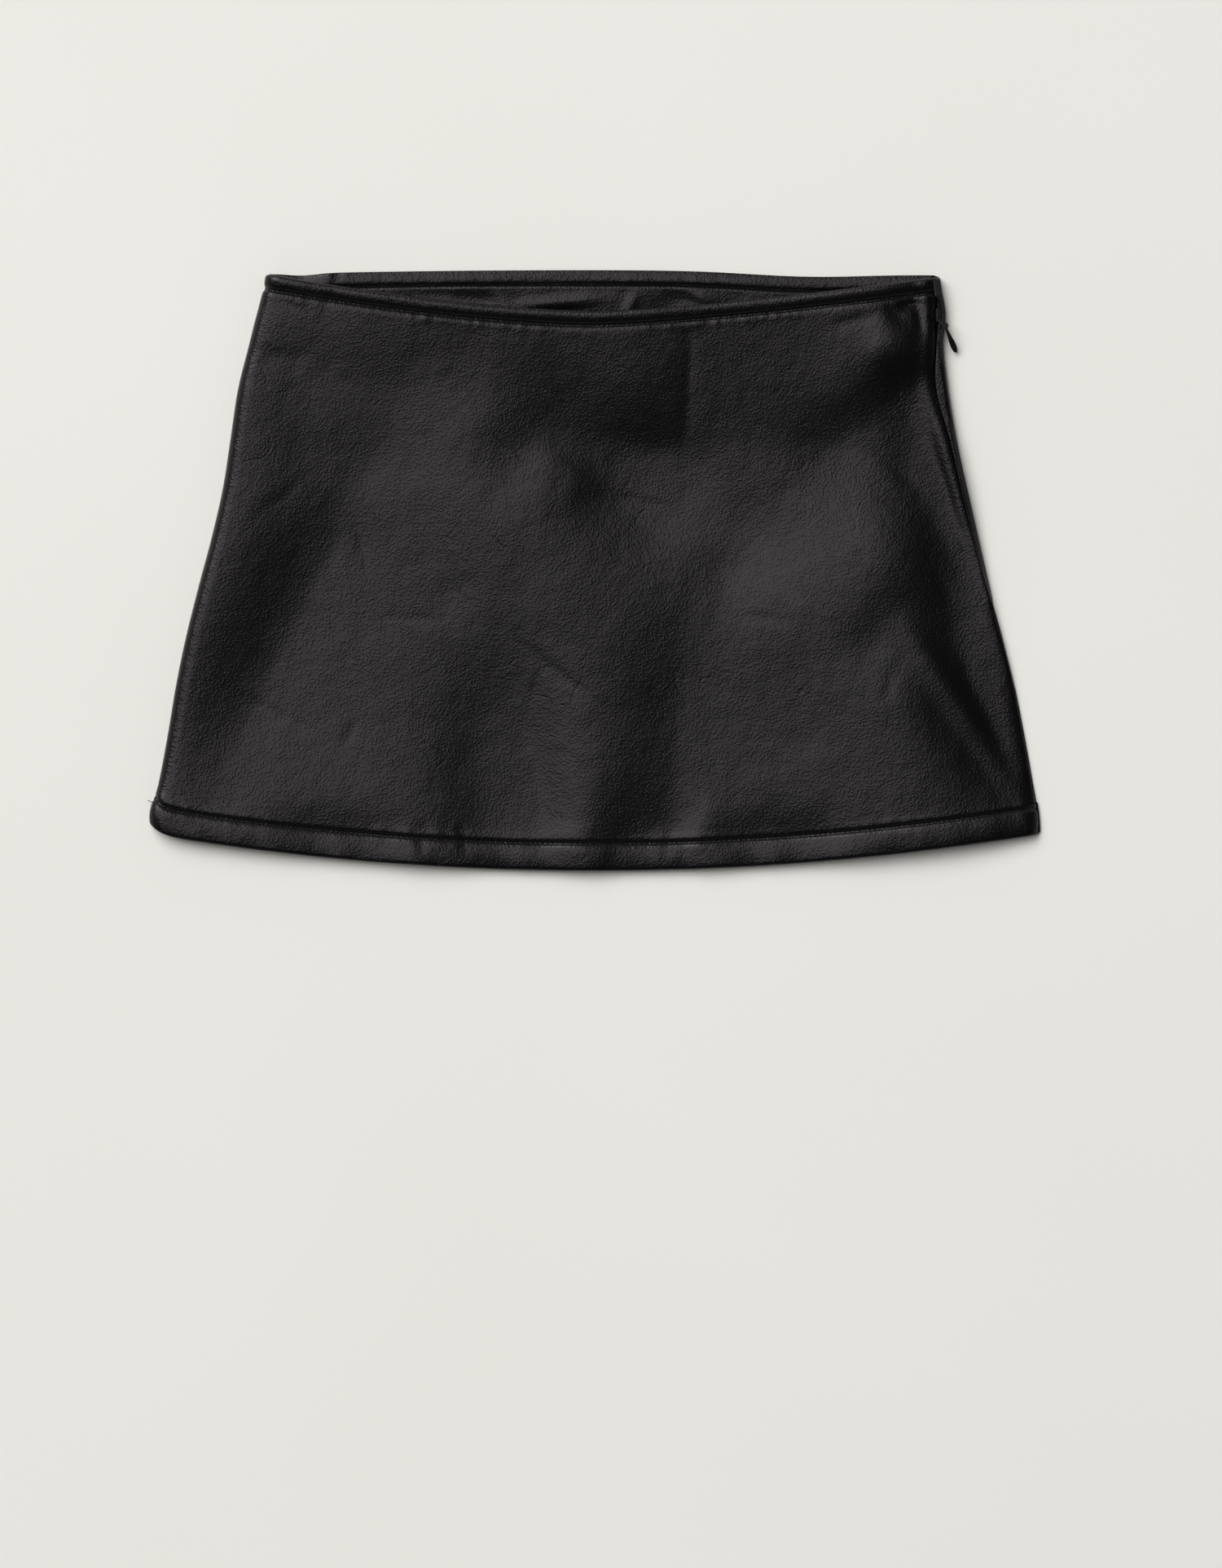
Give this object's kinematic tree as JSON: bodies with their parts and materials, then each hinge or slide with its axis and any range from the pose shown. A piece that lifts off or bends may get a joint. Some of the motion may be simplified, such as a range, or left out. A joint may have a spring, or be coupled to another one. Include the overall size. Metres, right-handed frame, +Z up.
{
  "type": "mini skirt",
  "caption": "Short A-line faux leather skirt laid flat, front up, with topstitched waist and hem and an invisible side zip with a teardrop pull.",
  "frame": {"origin": "on the surface the skirt lies on, under the middle of its outline", "axes": "+Z up from the surface, +Y from hem to waist, +X towards the side with the zip"},
  "size_m": [0.5012, 0.3387, 0.0119],
  "materials": {
    "outer_leather": "black grained faux leather, semi-matte",
    "facing_leather": "black grained faux leather, semi-matte",
    "zip_cloth": "black woven tape",
    "zip_teeth": "black nylon coil",
    "zip_enamel": "black enamel, semi-gloss"
  },
  "bodies": {
    "skirt": {"front_panel": "outer_leather", "back_panel": "outer_leather", "front_waist_edge": "outer_leather", "back_waist_edge": "outer_leather", "back_facing": "facing_leather", "front_hem": "outer_leather", "back_hem": "outer_leather", "zip_tape_front": "zip_cloth", "zip_tape_back": "zip_cloth", "zip_chain": "zip_teeth", "zip_slider": "zip_enamel"},
    "pull_tab": {"zip_pull": "zip_enamel"}
  },
  "joints": [
    {"name": "pull_hinge", "type": "hinge", "parent": "skirt", "child": "pull_tab", "pos_m": [0.1978, 0.1376, 0.0072], "axis": [0, 0, 1], "range_deg": [-12, 140]}
  ]
}
